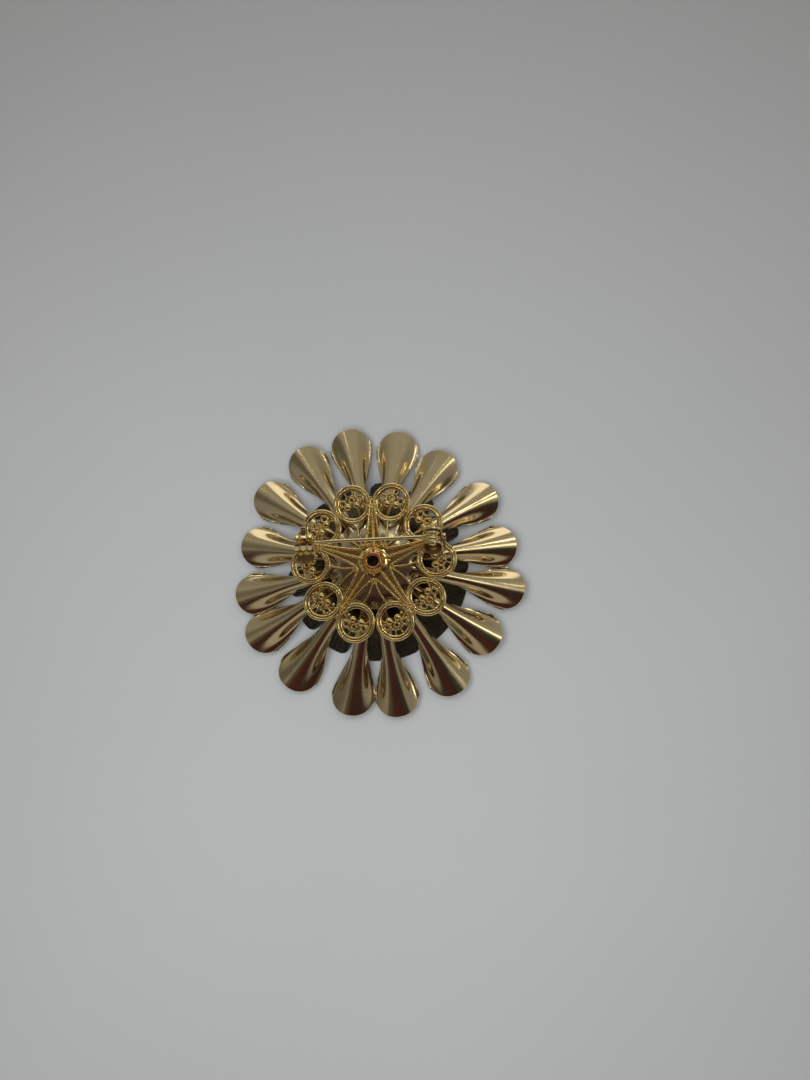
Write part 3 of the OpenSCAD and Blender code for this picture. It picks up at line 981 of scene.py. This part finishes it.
# %% Filigree star
ARM_COUNT, FIRST_ARM = 5, 18
ARM_ROOT, ARM_TIP = 3.0, 12.4
ARM_ROOT_HALF, ARM_TIP_HALF = 2.3, 0.5
# x, y and radius of the granules heaped on an arm's tip
TIP_GRANULES = (
    (11.3, 0.7, 0.32), (11.3, -0.7, 0.32), (11.9, 0.35, 0.36), (11.9, -0.4, 0.36),
    (12.45, 0.8, 0.34), (12.5, -0.78, 0.34), (12.6, 0.05, 0.36), (13.15, 0.46, 0.3),
    (13.2, -0.42, 0.3), (13.75, 0, 0.28), (10.6, 0.95, 0.26), (10.6, -0.95, 0.26),
    (14.3, 0.1, 0.22), (11.9, 1.15, 0.26), (11.9, -1.15, 0.26),
)


def rail_line(share, z_root, z_tip, count=24):
    """A line along an arm, at a share of its half width."""
    t = np.linspace(0, 1, count)
    half = ARM_ROOT_HALF + (ARM_TIP_HALF - ARM_ROOT_HALF) * t**0.55
    return np.c_[ARM_ROOT + (ARM_TIP - ARM_ROOT) * t, share * half, z_root + (z_tip - z_root) * t]


def filigree_arm():
    """One arm of the star along X, with its fold, rails and heap of granules."""
    left, right = rail_line(1, 0, 0), rail_line(-1, 0, 0)
    web = flat_work([np.vstack([left[:, :2], right[::-1, :2]])], PLATE_Z + 0.1, WEB_TOP, 0.07)
    # the middle of an arm is a raised fold with a twisted wire on its top
    fold = wire(rail_line(0, PLATE_Z + 0.75, PLATE_Z + 0.5), 0.34, 10)
    twist = beads(spaced(rail_line(0, PLATE_Z + 1.1, PLATE_Z + 0.85), 0.36), 0.2)
    rails = [wire(rail_line(s, PLATE_Z + 0.75, PLATE_Z + 0.65), 0.28, 10) for s in (-1, 1)]
    tip = granules([(x, y, 0.2, r) for x, y, r in TIP_GRANULES], 0.9)
    return join([web, fold, twist, tip, *rails])


def notch_ribs():
    """The thin ribs between neighbouring arms, with the notch at azimuth 0."""
    shapes = []
    for side in (-1, 1):
        start = np.array([4.3, 0.3 * side, PLATE_Z + 0.8])
        end = np.array([9.2, 2.75 * side, PLATE_Z + 0.55])
        t = np.linspace(0, 1, 14)[:, None]
        line = start + (end - start) * t
        line[:, 1] -= side * 0.4 * np.sin(math.pi * t[:, 0])
        shapes.append(wire(line, 0.2, 8))
        shapes.append(beads(spaced(line[:8] + (0, 0, 0.14), 0.36), 0.15))
    shapes.append(granules([(4.0, 0.55, 0.4, 0.32), (4.0, -0.55, 0.4, 0.32), (4.5, 0, 0.3, 0.32)], 1.0))
    return join(shapes)


for i in range(ARM_COUNT):
    azimuth = FIRST_ARM + i * 360 / ARM_COUNT
    arm_shape = turned(filigree_arm(), azimuth)
    ribs_shape = turned(notch_ribs(), azimuth + 180 / ARM_COUNT)
    arm = make_piece(f"filigree_arm_{i + 1}", arm_shape, "flower", filigree_plate, 55)
    ribs = make_piece(f"filigree_ribs_{i + 1}", ribs_shape, "flower", filigree_plate, 55)
    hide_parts("filigree_plate")
    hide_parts("filigree_plate")
print(ARM_COUNT, "arms, from", ARM_ROOT, "to", ARM_TIP, "mm, and", ARM_COUNT, "pairs of ribs")

# %% [markdown]
# Where the arms meet, the plate rises into a collar for the rivet, with ten beads round
# its foot. The collar is turned from a profile, and the beads are set by their angle.

# %% Filigree boss
boss_profile = [
    (STACK_BORE, PLATE_Z + 0.1),
    (STACK_BORE, PLATE_Z + 1.45),
    (1.95, PLATE_Z + 1.5),
    (2.15, PLATE_Z + 1.3),
    (2.3, PLATE_Z + 0.8),
    (2.6, PLATE_Z + 0.55),
    (3.4, PLATE_Z + 0.5),
    (3.4, PLATE_Z + 0.1),
]
bead_ring = 2.75
bead_angles = np.radians(np.arange(2 * ARM_COUNT) * 180 / ARM_COUNT + FIRST_ARM)
bead_places = [(bead_ring * math.cos(a), bead_ring * math.sin(a), PLATE_Z + 0.85) for a in bead_angles]
boss_shape = join([lathe(boss_profile, 80), beads(bead_places, [0.22, 0.36] * ARM_COUNT, 0.9)])
boss = make_piece("filigree_boss", boss_shape, "flower", filigree_plate)
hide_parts("filigree_plate")
print("boss with", len(bead_places), "beads")

# %% [markdown]
# A hollow rivet, rolled over at both ends, clamps the whole stack. Each rolled rim is most
# of a round ring that runs into the bore, so the rivet is turned from one closed profile.

# %% Tubular rivet
rivet_low, rivet_high = node_box("tubular_rivet")
RIM_R = 0.4
TUBE_WALL = 0.35


def rolled_rivet():
    """Both rolled rims, the bore between them and the tube's outside, as one profile."""
    rim_middle = rivet_high.x - RIM_R
    bore = rim_middle - RIM_R
    tube_out = bore + TUBE_WALL
    top, bottom = rivet_high.z - RIM_R, rivet_low.z + RIM_R

    def rim(height, start, end):
        """A round rim about one height, between two angles in degrees."""
        angles = np.radians(np.linspace(start, end, 18))
        return [(rim_middle + RIM_R * math.cos(a), height + RIM_R * math.sin(a)) for a in angles]

    inside = [(bore, top - 0.5), (bore, bottom + 0.5)]
    outside = [(tube_out, bottom + 0.7), (tube_out, top - 0.7)]
    return lathe(rim(top, -60, 180) + inside + rim(bottom, 180, 420) + outside, 72)


rivet = make_piece("rolled_rivet", rolled_rivet(), "flower", copper_plate)
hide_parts("tubular_rivet")
print("rivet", round(rivet_high.z - rivet_low.z, 2), "mm long, its rims", round(2 * rivet_high.x, 2), "mm")

# %% [markdown]
# The hinge, called a joint by jewellers, is a bent U of sheet: a base soldered to the
# plate, two rounded ears that hold a rivet, and a stop tongue behind the pin's head.
# Ears are flat work stood on edge, because that rounds their punched outline.


# %% Bent and soldered sheet
def stood_up(shape, axis):
    """Turns flat work so that its thickness runs along X or Y and its outline's y points up."""
    points, faces = shape
    x, y, z = np.asarray(points, float).T
    if axis == "Y":
        return np.c_[x, -z, y], faces
    return np.c_[z, x, y], faces


def laid_along_y(shape):
    """Turned work with its axis laid along Y instead of Z."""
    points, faces = shape
    x, y, z = np.asarray(points, float).T
    return np.c_[x, z, y], [f[::-1] for f in faces]


def rounded_box(low, high, edge):
    """A block with softened edges, from flat work."""
    (x0, y0, z0), (x1, y1, z1) = low, high
    corner = min(0.35 * min(x1 - x0, y1 - y0), 0.5)
    right, left, back, front = x1 - corner, x0 + corner, y1 - corner, y0 + corner
    outline = []
    for cx, cy, start in ((right, back, 0), (left, back, 90), (left, front, 180), (right, front, 270)):
        for a in np.radians(np.linspace(start, start + 90, 6)):
            outline.append((cx + corner * math.cos(a), cy + corner * math.sin(a)))
    return flat_work([outline], z0, z1, edge)


# %% Joint
hinge = joint_at["pin_swing"]
base_low, base_high = node_box("joint_base")
EAR_R = base_high.z - hinge.z
EAR_T = 0.5
PIN_HOLE = 0.52
PAD_R = hinge.x - base_low.x
PAD_T = 0.5
TONGUE_HALF = 0.7


def ear_outline():
    """A round-topped ear, with the pin's axis at the origin."""
    foot = base_low.z - hinge.z + 0.05
    top = [(EAR_R * math.cos(a), EAR_R * math.sin(a)) for a in np.radians(np.linspace(0, 180, 25))]
    return np.array([(EAR_R, foot), *top, (-EAR_R, foot)])


ear_outlines = [ear_outline(), oval((0, 0), PIN_HOLE, PIN_HOLE, 24)]
ear = stood_up(flat_work(ear_outlines, -EAR_T / 2, EAR_T / 2, 0.1), "Y")
ear_y = base_high.y - hinge.y - EAR_T / 2
joint_shapes = [moved(ear, (hinge.x, hinge.y + side * ear_y, hinge.z)) for side in (-1, 1)]
# the pad under the ears is round where it reaches towards the middle of the flower
round_end = np.radians(np.linspace(180, 360, 25))
pad_outline = np.vstack([
    np.c_[hinge.x + PAD_R * np.cos(round_end), base_low.y + PAD_R + PAD_R * np.sin(round_end)],
    [(hinge.x + PAD_R, base_high.y), (hinge.x - PAD_R, base_high.y)],
])
joint_shapes.append(flat_work([pad_outline], base_low.z, base_low.z + PAD_T, 0.16))
strap_low = (hinge.x, hinge.y - TONGUE_HALF, base_low.z)
strap_high = (base_high.x, hinge.y + TONGUE_HALF, base_low.z + PAD_T - 0.02)
joint_shapes.append(rounded_box(strap_low, strap_high, 0.1))
tongue_side = [(TONGUE_HALF, 0), (TONGUE_HALF, 2.7), (0.45, 3.3)]
tongue_outline = np.array([*tongue_side, (0, 3.5), *[(-x, y) for x, y in tongue_side[::-1]]])
tongue = stood_up(flat_work([tongue_outline], -0.25, 0.25, 0.1), "X")
joint_shapes.append(moved(tongue, (base_high.x - 0.25, hinge.y, base_low.z)))
# the tongue's end is beaten into a small round knob
knob_points, knob_faces = beads([(0, 0, 0)], 1.0, fine=True)
knob = (knob_points * (0.44, 0.66, 0.5), knob_faces)
joint_shapes.append(moved(knob, (base_high.x - 0.45, hinge.y, base_high.z - 1.85)))
joint_piece = make_piece("joint_bracket", join(joint_shapes), "flower", pin_plate)
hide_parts("joint_base")
print("joint ears", round(2 * ear_y - EAR_T, 2), "mm apart and", round(2 * EAR_R, 2), "mm wide")

# %% [markdown]
# The rivet through the ears is a short wire with both ends hammered to low domes. Its
# profile is the same at both ends, so one half is written and mirrored.

# %% Joint rivet
joint_rivet_low, joint_rivet_high = node_box("joint_rivet")
half_span = (joint_rivet_high.y - joint_rivet_low.y) / 2
dome_r = joint_rivet_high.z - hinge.z
# distance from the axis, and how far in from the end
dome = [(0.02, 0), (0.4, 0.02), (0.7, 0.1), (dome_r, 0.25), (dome_r, 0.35), (0.5, 0.36)]
upper = [(r, half_span - inset) for r, inset in dome]
lower = [(r, -half_span + inset) for r, inset in dome[::-1]]
joint_rivet_shape = moved(laid_along_y(lathe(upper + lower, 32)), hinge)
joint_pin = make_piece("joint_pin", joint_rivet_shape, "flower", pin_plate)
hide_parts("joint_rivet")
print("joint rivet", round(2 * half_span, 2), "mm long")

# %% [markdown]
# The needle and its head are one wire: the head is rolled round the rivet twice, so it
# shows two soft bands with a groove between, and the needle leaves it straight and thins
# to a point over the last third of its length.

# %% Pin
pin_low, pin_high = node_box("pin_stem")
HEAD_R = hinge.z - pin_low.z
NEEDLE_R = 0.38
POINT_R = 0.03
TAPER_LONG = 8
head_half = (pin_high.y - pin_low.y) / 2


def rolled_head():
    """Two bands of flattened wire about the Y axis, as one closed profile."""
    profile = []
    for middle in (head_half / 2, -head_half / 2):
        for a in np.radians(np.linspace(80, -80, 12)):
            bulge = HEAD_R - 0.5 * (1 - math.cos(a))
            profile.append((bulge, middle + (head_half / 2 - 0.02) * math.sin(a)))
    profile += [(0.57, -head_half + 0.02), (0.57, head_half - 0.02)]
    return laid_along_y(lathe(profile, 48))


def needle_path():
    """Centre line and radius, from the head to the point."""
    point_x = pin_low.x - hinge.x
    taper_x = point_x + TAPER_LONG
    near_head = np.linspace(-HEAD_R + 0.35, -2.5, 10)
    x = np.r_[near_head, np.linspace(-3.5, taper_x, 12), np.linspace(taper_x - 0.6, point_x, 24)]
    t = np.clip((taper_x - x) / TAPER_LONG, 0, 1)
    radius = NEEDLE_R * (1 - t**1.2) + POINT_R * t
    root = smooth((x + 2.6) / 1.4)
    return np.c_[x, np.zeros_like(x), np.zeros_like(x)], radius + 0.22 * root


path, radius = needle_path()
needle_shape = moved(join([rolled_head(), wire(path, radius, 20)]), hinge)
pin_piece = make_piece("pin_needle", needle_shape, "pin", pin_plate)
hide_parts("pin_stem")
print("needle", round(hinge.x - pin_low.x, 2), "mm from its rivet to its point")

# %% [markdown]
# The safety catch is a pair of C-shaped cheeks on a strap, with a slotted sleeve that
# turns between them. Each cheek is a crowned strip curled into a C, so one section is
# swept round the catch's axis, and small blocks of solder join it to the strap.

# %% Catch cheeks
catch = joint_at["catch_turn"]
catch_low, catch_high = node_box("catch_base")
CHEEK_R, CHEEK_BORE, MOUTH = 2.0, 1.46, 1.3
CHEEK_W, CHEEK_GAP = 1.25, 1.5
STRAP_T = 0.5


def curled_band(half_width, inner, outer, gap, count=40):
    """A C of crowned strip round the X axis, its gap facing up."""
    across = np.radians(np.linspace(0, 180, 13))
    section = np.c_[half_width * np.cos(across), outer - 0.34 * (1 - np.sin(across) ** 0.7)]
    section = np.vstack([section, [(-half_width + 0.06, inner), (half_width - 0.06, inner)]])
    opening = math.asin(gap / 2 / outer)
    points = np.array([
        (x, r * math.cos(a), r * math.sin(a))
        for a in np.linspace(math.pi / 2 + opening, 2.5 * math.pi - opening, count)
        for x, r in section
    ])
    n, faces = len(section), []
    for i in range(count - 1):
        a, b = i * n, (i + 1) * n
        faces += [(a + j, a + (j + 1) % n, b + (j + 1) % n, b + j) for j in range(n)]
    faces += [tuple(range(n))[::-1], tuple((count - 1) * n + j for j in range(n))]
    return points, faces


cheek = curled_band(CHEEK_W / 2, CHEEK_BORE, CHEEK_R, MOUTH)
catch_shapes = []
for side in (-1, 1):
    middle = catch.x + side * (CHEEK_GAP + CHEEK_W) / 2
    half_foot = CHEEK_W / 2 - 0.1
    foot_low = (middle - half_foot, catch.y - 1.5, catch_low.z + 0.3)
    foot_high = (middle + half_foot, catch.y + 1.5, catch.z - CHEEK_R + 0.45)
    catch_shapes.append(moved(cheek, (middle, catch.y, catch.z)))
    catch_shapes.append(rounded_box(foot_low, foot_high, 0.2))
strap_top = (catch_high.x, catch_high.y - 0.2, catch_low.z + STRAP_T)
catch_shapes.append(rounded_box(tuple(catch_low), strap_top, 0.12))
catch_piece = make_piece("catch_cheeks", join(catch_shapes), "flower", pin_plate)
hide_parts("catch_base")
print("catch cheeks", 2 * CHEEK_R, "mm across, with a mouth of", MOUTH, "mm")

# %% [markdown]
# The roller is a slotted tube with a thicker ring in its middle, which carries the thumb
# tab. With the slot up the needle can lift out; a quarter turn of the tab shuts it in.
# The three ridges on the tab are what the thumb pushes against.

# %% Catch roller
SLOT = 1.0
TUBE_R, TUBE_BORE = 1.4, 0.6
RING_R, RING_BORE, RING_HALF = 1.9, 0.62, 0.65
TAB_LEAN = math.radians(25)


def open_ring(outer, inner, gap, count=40):
    """Outline of a C whose gap faces up."""
    a_out = math.asin(gap / 2 / outer)
    a_in = math.asin(gap / 2 / inner)
    out = np.linspace(math.pi / 2 + a_out, 2.5 * math.pi - a_out, count)
    back = np.linspace(2.5 * math.pi - a_in, math.pi / 2 + a_in, count)
    return np.vstack([
        np.c_[outer * np.cos(out), outer * np.sin(out)],
        np.c_[inner * np.cos(back), inner * np.sin(back)],
    ])


def thumb_tab():
    """The ridged tab, leaning about the catch's axis."""
    tab = rounded_box((-0.6, 1.5, -0.28), (0.6, 3.45, 0.28), 0.12)
    ridges = [wire([(-0.5, y, 0.27), (0.5, y, 0.27)], 0.08, 8) for y in (2.3, 2.65, 3.0)]
    points, faces = join([tab, *ridges])
    cosine, sine = math.cos(TAB_LEAN), math.sin(TAB_LEAN)
    x, y, z = points.T
    return np.c_[x, cosine * y - sine * z, sine * y + cosine * z], faces


sleeve_low, sleeve_high = node_box("catch_sleeve")
tube_half = (sleeve_high.x - sleeve_low.x) / 2
slotted_tube = stood_up(flat_work([open_ring(TUBE_R, TUBE_BORE, SLOT)], -tube_half, tube_half, 0.08), "X")
middle_ring = stood_up(flat_work([open_ring(RING_R, RING_BORE, SLOT)], -RING_HALF, RING_HALF, 0.12), "X")
roller_shape = moved(join([slotted_tube, middle_ring, thumb_tab()]), catch)
sleeve_piece = make_piece("catch_roller", roller_shape, "sleeve", pin_plate)
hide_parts("catch_sleeve")
print("catch roller", round(2 * tube_half, 2), "mm long, slot", SLOT, "mm")

# %% [markdown]
# The brooch lies on a pale grey sheet of paper. It is one large square whose colour
# drifts a little and whose fibres show only in its roughness; a plain floor lets the
# brooch's own shadow tell how high its petals stand.


# %% Floor
def plain_floor(half=900 * MM):
    """The paper under the brooch, its half width in metres."""
    mesh = bpy.data.meshes.new("floor")
    corners = [(-half, -half, 0), (half, -half, 0), (half, half, 0), (-half, half, 0)]
    mesh.from_pydata(corners, [], [(0, 1, 2, 3)])
    material, tree, shader = new_material("floor_paper")
    place = tree.nodes.new("ShaderNodeTexCoord").outputs["Object"]
    fibre = noise_node(tree, place, 900.0, 4.0)
    cloud = noise_node(tree, place, 9.0, 2.0)
    paper = mix_node(tree, cloud, (0.42, 0.43, 0.44), (0.46, 0.47, 0.475))
    # the sheet is painted paler away from the brooch, as painted light where the lamp no longer reaches it
    away = map_node(tree, length_node(tree, place), 0.2, 0.6, 0, 1)
    tree.links.new(mix_node(tree, away, paper, (0.8, 0.81, 0.82)), shader.inputs["Base Color"])
    tree.links.new(map_node(tree, fibre, 0.3, 0.7, 0.5, 0.62), shader.inputs["Roughness"])
    add_relief(tree, shader, fibre, 0.1, 0.2 * MM)
    mesh.materials.append(material)
    floor = bpy.data.objects.new("floor", mesh)
    bpy.context.scene.collection.objects.link(floor)
    print("floor", round(2 * half, 2), "m across")


plain_floor()

# %% [markdown]
# One broad soft lamp hangs low above the brooch, a little towards its lower edge. It is
# hidden from polished metal, which shows the painted room instead, so it only brightens
# the paper and the pearl and gives the petals their soft shadows.

# %% Light
LAMP_AT = Vector((-15, -50, 250))
LAMP_WIDE = 190
LAMP_POWER = 0.63
LAMP_COLOUR = (0.965, 0.985, 1.0)

lamp_data = bpy.data.lights.new("overhead", "AREA")
lamp_data.shape = "SQUARE"
lamp_data.size = LAMP_WIDE * MM
lamp_data.energy = LAMP_POWER
lamp_data.color = LAMP_COLOUR
lamp = bpy.data.objects.new("overhead", lamp_data)
lamp.location = LAMP_AT * MM
lamp.rotation_euler = (-LAMP_AT).to_track_quat("-Z", "Y").to_euler()
lamp.visible_glossy = False
lamp.visible_camera = False
bpy.context.scene.collection.objects.link(lamp)
print("lamp", LAMP_WIDE, "mm wide at", tuple(LAMP_AT), "mm")

# %% [markdown]
# Polished metal shows whatever surrounds it, so the room is part of the look. It is
# painted on the world as a few soft patches: dim walls, a pale one at the upper edge, a
# lamp to the right and the dark shape of whoever leans over the table. Each patch is an
# oval in the plan of the sky, where the middle is overhead and the edge is the horizon.

# %% Room
world = bpy.data.worlds.new("room")
bpy.context.scene.world = world
world.use_nodes = True
room = world.node_tree
background = room.nodes["Background"]
way = room.nodes.new("ShaderNodeTexCoord").outputs["Generated"]


def patch(centre, radii, turn, inner):
    """Mask of an oval in the plan of the sky, full within the inner share of its radii."""
    place = room.nodes.new("ShaderNodeMapping")
    place.vector_type = "TEXTURE"
    place.inputs["Location"].default_value = (*centre, 0)
    place.inputs["Rotation"].default_value = (0, 0, math.radians(turn))
    place.inputs["Scale"].default_value = (*radii, 100)
    room.links.new(way, place.inputs["Vector"])
    soft = room.nodes.new("ShaderNodeMapRange")
    soft.interpolation_type = "SMOOTHSTEP"
    soft.inputs["From Min"].default_value = 1.0
    soft.inputs["From Max"].default_value = inner
    room.links.new(length_node(room, place.outputs[0]), soft.inputs["Value"])
    return soft.outputs[0]


# where each patch lies, its half sizes, its turn in degrees, the share that is full, its colour
BARE_ROOM = (0.2, 0.195, 0.18)
ROOM_PATCHES = (
    ((0, -0.85), (1.1, 0.4), 0, 0.3, (0.32, 0.3, 0.26)),  # low wall at the lower edge
    ((0, 0.25), (1.0, 0.75), 0, 0.6, (0.275, 0.268, 0.235)),  # ceiling
    ((-0.78, 0.2), (0.42, 0.42), 0, 0.3, (0.1, 0.096, 0.08)),  # dim corner on the left
    ((0.05, 0.93), (0.45, 0.1), 0, 0.6, (1.0, 0.97, 0.88)),  # pale wall at the upper edge
    ((-0.05, 0.0), (0.5, 0.42), 0, 0.6, (0.075, 0.05, 0.045)),  # head and hands overhead
    ((0.0, 0.43), (0.2, 0.07), 0, 0.5, (0.65, 0.66, 0.62)),  # gap of light above them
    ((0.1, -0.43), (0.95, 0.42), 0, 0.72, (0.034, 0.017, 0.017)),  # dark clothes
    ((-0.48, -0.24), (0.34, 0.2), 20, 0.5, (0.07, 0.06, 0.045)),  # sleeve on the left
    ((0.45, -0.16), (0.28, 0.16), -15, 0.5, (0.022, 0.03, 0.026)),  # sleeve on the right
    ((-0.08, -0.47), (0.3, 0.14), 0, 0.3, (0.075, 0.014, 0.018)),  # warm dark middle
    ((0.56, 0.2), (0.22, 0.09), 20, 0.5, (2.4, 2.3, 1.9)),  # lamp on the right
    ((-0.3, 0.5), (0.04, 0.035), 0, 0.5, (8.0, 7.6, 6.6)),  # three small bright lamps
    ((0.05, 0.34), (0.035, 0.03), 0, 0.5, (8.0, 7.6, 6.6)),
    ((0.36, 0.44), (0.04, 0.04), 0, 0.5, (9.0, 8.6, 7.4)),
)
sky = BARE_ROOM
for centre, radii, turn, inner, colour in ROOM_PATCHES:
    sky = mix_node(room, patch(centre, radii, turn, inner), sky, colour)
# seen directly, past the floor's edge, the room is a plain pale grey
only_seen = room.nodes.new("ShaderNodeLightPath").outputs["Is Camera Ray"]
sky = mix_node(room, only_seen, sky, (0.5, 0.505, 0.5))
room.links.new(sky, background.inputs["Color"])
bpy.context.scene.view_settings.view_transform = "Standard"
print("room of", len(ROOM_PATCHES), "patches")
